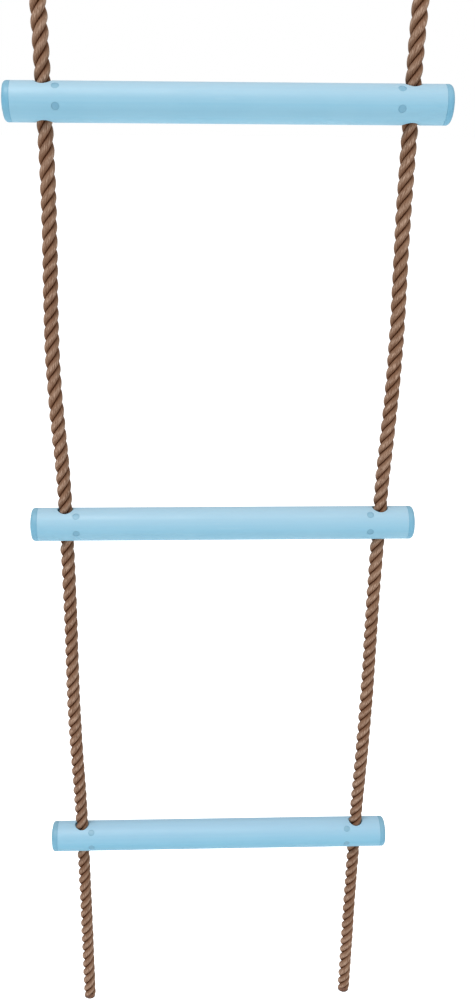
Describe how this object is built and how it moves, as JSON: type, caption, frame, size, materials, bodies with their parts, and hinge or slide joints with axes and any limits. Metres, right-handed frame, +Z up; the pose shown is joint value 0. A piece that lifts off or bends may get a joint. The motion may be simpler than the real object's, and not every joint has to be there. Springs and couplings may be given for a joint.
{
  "type": "rope ladder",
  "caption": "Hanging escape rope ladder: plastic tube rungs clamped on two brown laid ropes, each rope ending at the top in a thimble eye.",
  "frame": {"origin": "midway between the centres of the two hanging thimbles, level with both bores", "axes": "+Z up along the hanging ropes, X along the rungs with +X to the right seen from the front, -Y is the front where the lock pins show"},
  "size_m": [0.3, 0.026, 1.1306],
  "materials": {
    "rung_plastic": "satin light blue, moulded",
    "plug_plastic": "satin light blue, a little darker than the tube",
    "pin_plastic": "satin light blue",
    "saddle_plastic": "plain moulded, hidden in the rung",
    "rope": "brown three-strand laid rope, right-hand lay",
    "thimble_steel": "brushed",
    "ferrule_aluminium": "satin, pressed"
  },
  "bodies": {
    "hanger": {"left_thimble": "thimble_steel", "right_thimble": "thimble_steel", "left_rope_eye": "rope", "right_rope_eye": "rope", "left_ferrule": "ferrule_aluminium", "right_ferrule": "ferrule_aluminium"},
    "rung_1": {"rung_1_tube": "rung_plastic", "rung_1_left_end_plug": "plug_plastic", "rung_1_right_end_plug": "plug_plastic", "rung_1_left_rope_saddle": "saddle_plastic", "rung_1_right_rope_saddle": "saddle_plastic", "rung_1_lock_pins": "pin_plastic", "left_rope_through_rung_1": "rope"},
    "rung_2": {"rung_2_tube": "rung_plastic", "rung_2_left_end_plug": "plug_plastic", "rung_2_right_end_plug": "plug_plastic", "rung_2_left_rope_saddle": "saddle_plastic", "rung_2_right_rope_saddle": "saddle_plastic", "rung_2_lock_pins": "pin_plastic", "left_rope_through_rung_2": "rope"},
    "rung_3": {"rung_3_tube": "rung_plastic", "rung_3_left_end_plug": "plug_plastic", "rung_3_right_end_plug": "plug_plastic", "rung_3_left_rope_saddle": "saddle_plastic", "rung_3_right_rope_saddle": "saddle_plastic", "rung_3_lock_pins": "pin_plastic", "left_rope_through_rung_3": "rope"},
    "bends_below_eyes": {"left_rope_bend_below_eye": "rope", "right_rope_bend_below_eye": "rope"},
    "left_rope_bay_1": {"left_rope_eye_to_rung_1": "rope"},
    "right_rope_bay_1": {"right_rope_eye_to_rung_1": "rope"},
    "left_bend_above_rung_1": {"left_rope_bend_above_rung_1": "rope"},
    "right_bend_above_rung_1": {"right_rope_bend_above_rung_1": "rope"},
    "right_rope_in_rung_1": {"right_rope_through_rung_1": "rope"},
    "left_rope_bay_2": {"left_rope_rung_1_to_2": "rope"},
    "right_rope_bay_2": {"right_rope_rung_1_to_2": "rope"},
    "left_bend_above_rung_2": {"left_rope_bend_above_rung_2": "rope"},
    "right_bend_above_rung_2": {"right_rope_bend_above_rung_2": "rope"},
    "right_rope_in_rung_2": {"right_rope_through_rung_2": "rope"},
    "left_rope_bay_3": {"left_rope_rung_2_to_3": "rope"},
    "right_rope_bay_3": {"right_rope_rung_2_to_3": "rope"},
    "left_bend_above_rung_3": {"left_rope_bend_above_rung_3": "rope"},
    "right_bend_above_rung_3": {"right_rope_bend_above_rung_3": "rope"},
    "right_rope_in_rung_3": {"right_rope_through_rung_3": "rope"},
    "bends_below_rung_1": {"left_rope_bend_below_rung_1": "rope", "right_rope_bend_below_rung_1": "rope"},
    "bends_below_rung_2": {"left_rope_bend_below_rung_2": "rope", "right_rope_bend_below_rung_2": "rope"},
    "left_tail_bend": {"left_rope_bend_below_rung_3": "rope"},
    "left_tail": {"left_rope_tail": "rope"},
    "right_tail_bend": {"right_rope_bend_below_rung_3": "rope"},
    "right_tail": {"right_rope_tail": "rope"}
  },
  "joints": [
    {"name": "fold_below_eyes", "type": "hinge", "parent": "hanger", "child": "bends_below_eyes", "pos_m": [0, 0, -0.05748], "axis": [1, 0, 0], "range_deg": [-90, 90]},
    {"name": "sway_bay_1", "type": "hinge", "parent": "bends_below_eyes", "child": "left_rope_bay_1", "pos_m": [-0.1225, 0, -0.08148], "axis": [0, 1, 0], "range_deg": [-60, 60]},
    {"name": "sway_bay_1_right_rope", "type": "hinge", "parent": "bends_below_eyes", "child": "right_rope_bay_1", "pos_m": [0.1225, 0, -0.08148], "axis": [0, 1, 0], "range_deg": [-60, 60]},
    {"name": "level_bay_1_left_rope", "type": "hinge", "parent": "left_rope_bay_1", "child": "left_bend_above_rung_1", "pos_m": [-0.1225, 0, -0.26175], "axis": [0, 1, 0], "range_deg": [-60, 60]},
    {"name": "level_bay_1_right_rope", "type": "hinge", "parent": "right_rope_bay_1", "child": "right_bend_above_rung_1", "pos_m": [0.1225, 0, -0.26175], "axis": [0, 1, 0], "range_deg": [-60, 60]},
    {"name": "fold_above_rung_1", "type": "hinge", "parent": "left_bend_above_rung_1", "child": "rung_1", "pos_m": [-0.1225, 0, -0.28575], "axis": [-1, 0, 0], "range_deg": [-90, 90]},
    {"name": "fold_above_rung_1_right_rope", "type": "hinge", "parent": "right_bend_above_rung_1", "child": "right_rope_in_rung_1", "pos_m": [0.1225, 0, -0.28575], "axis": [-1, 0, 0], "range_deg": [-90, 90]},
    {"name": "fold_below_rung_1", "type": "hinge", "parent": "rung_1", "child": "bends_below_rung_1", "pos_m": [0, 0, -0.32425], "axis": [-1, 0, 0], "range_deg": [-90, 90]},
    {"name": "sway_bay_2", "type": "hinge", "parent": "bends_below_rung_1", "child": "left_rope_bay_2", "pos_m": [-0.1225, 0, -0.34825], "axis": [0, -1, 0], "range_deg": [-60, 60]},
    {"name": "sway_bay_2_right_rope", "type": "hinge", "parent": "bends_below_rung_1", "child": "right_rope_bay_2", "pos_m": [0.1225, 0, -0.34825], "axis": [0, -1, 0], "range_deg": [-60, 60]},
    {"name": "level_bay_2_left_rope", "type": "hinge", "parent": "left_rope_bay_2", "child": "left_bend_above_rung_2", "pos_m": [-0.1225, 0, -0.56675], "axis": [0, -1, 0], "range_deg": [-60, 60]},
    {"name": "level_bay_2_right_rope", "type": "hinge", "parent": "right_rope_bay_2", "child": "right_bend_above_rung_2", "pos_m": [0.1225, 0, -0.56675], "axis": [0, -1, 0], "range_deg": [-60, 60]},
    {"name": "fold_above_rung_2", "type": "hinge", "parent": "left_bend_above_rung_2", "child": "rung_2", "pos_m": [-0.1225, 0, -0.59075], "axis": [1, 0, 0], "range_deg": [-90, 90]},
    {"name": "fold_above_rung_2_right_rope", "type": "hinge", "parent": "right_bend_above_rung_2", "child": "right_rope_in_rung_2", "pos_m": [0.1225, 0, -0.59075], "axis": [1, 0, 0], "range_deg": [-90, 90]},
    {"name": "fold_below_rung_2", "type": "hinge", "parent": "rung_2", "child": "bends_below_rung_2", "pos_m": [0, 0, -0.62925], "axis": [1, 0, 0], "range_deg": [-90, 90]},
    {"name": "sway_bay_3", "type": "hinge", "parent": "bends_below_rung_2", "child": "left_rope_bay_3", "pos_m": [-0.1225, 0, -0.65325], "axis": [0, 1, 0], "range_deg": [-60, 60]},
    {"name": "sway_bay_3_right_rope", "type": "hinge", "parent": "bends_below_rung_2", "child": "right_rope_bay_3", "pos_m": [0.1225, 0, -0.65325], "axis": [0, 1, 0], "range_deg": [-60, 60]},
    {"name": "level_bay_3_left_rope", "type": "hinge", "parent": "left_rope_bay_3", "child": "left_bend_above_rung_3", "pos_m": [-0.1225, 0, -0.87175], "axis": [0, 1, 0], "range_deg": [-60, 60]},
    {"name": "level_bay_3_right_rope", "type": "hinge", "parent": "right_rope_bay_3", "child": "right_bend_above_rung_3", "pos_m": [0.1225, 0, -0.87175], "axis": [0, 1, 0], "range_deg": [-60, 60]},
    {"name": "fold_above_rung_3", "type": "hinge", "parent": "left_bend_above_rung_3", "child": "rung_3", "pos_m": [-0.1225, 0, -0.89575], "axis": [-1, 0, 0], "range_deg": [-90, 90]},
    {"name": "fold_above_rung_3_right_rope", "type": "hinge", "parent": "right_bend_above_rung_3", "child": "right_rope_in_rung_3", "pos_m": [0.1225, 0, -0.89575], "axis": [-1, 0, 0], "range_deg": [-90, 90]},
    {"name": "left_tail_fold", "type": "hinge", "parent": "rung_3", "child": "left_tail_bend", "pos_m": [-0.1225, 0, -0.93425], "axis": [-1, 0, 0], "range_deg": [-90, 90]},
    {"name": "left_tail_side_swing", "type": "hinge", "parent": "left_tail_bend", "child": "left_tail", "pos_m": [-0.1225, 0, -0.95825], "axis": [0, 1, 0], "range_deg": [-60, 60]},
    {"name": "right_tail_fold", "type": "hinge", "parent": "rung_3", "child": "right_tail_bend", "pos_m": [0.1225, 0, -0.93425], "axis": [-1, 0, 0], "range_deg": [-90, 90]},
    {"name": "right_tail_side_swing", "type": "hinge", "parent": "right_tail_bend", "child": "right_tail", "pos_m": [0.1225, 0, -0.95825], "axis": [0, 1, 0], "range_deg": [-60, 60]}
  ],
  "couplings": [
    {"joint": "sway_bay_1_right_rope", "follows": "sway_bay_1", "ratio": 1},
    {"joint": "level_bay_1_left_rope", "follows": "sway_bay_1", "ratio": -1},
    {"joint": "level_bay_1_right_rope", "follows": "sway_bay_1", "ratio": -1},
    {"joint": "fold_above_rung_1_right_rope", "follows": "fold_above_rung_1", "ratio": 1},
    {"joint": "sway_bay_2_right_rope", "follows": "sway_bay_2", "ratio": 1},
    {"joint": "level_bay_2_left_rope", "follows": "sway_bay_2", "ratio": -1},
    {"joint": "level_bay_2_right_rope", "follows": "sway_bay_2", "ratio": -1},
    {"joint": "fold_above_rung_2_right_rope", "follows": "fold_above_rung_2", "ratio": 1},
    {"joint": "sway_bay_3_right_rope", "follows": "sway_bay_3", "ratio": 1},
    {"joint": "level_bay_3_left_rope", "follows": "sway_bay_3", "ratio": -1},
    {"joint": "level_bay_3_right_rope", "follows": "sway_bay_3", "ratio": -1},
    {"joint": "fold_above_rung_3_right_rope", "follows": "fold_above_rung_3", "ratio": 1}
  ]
}
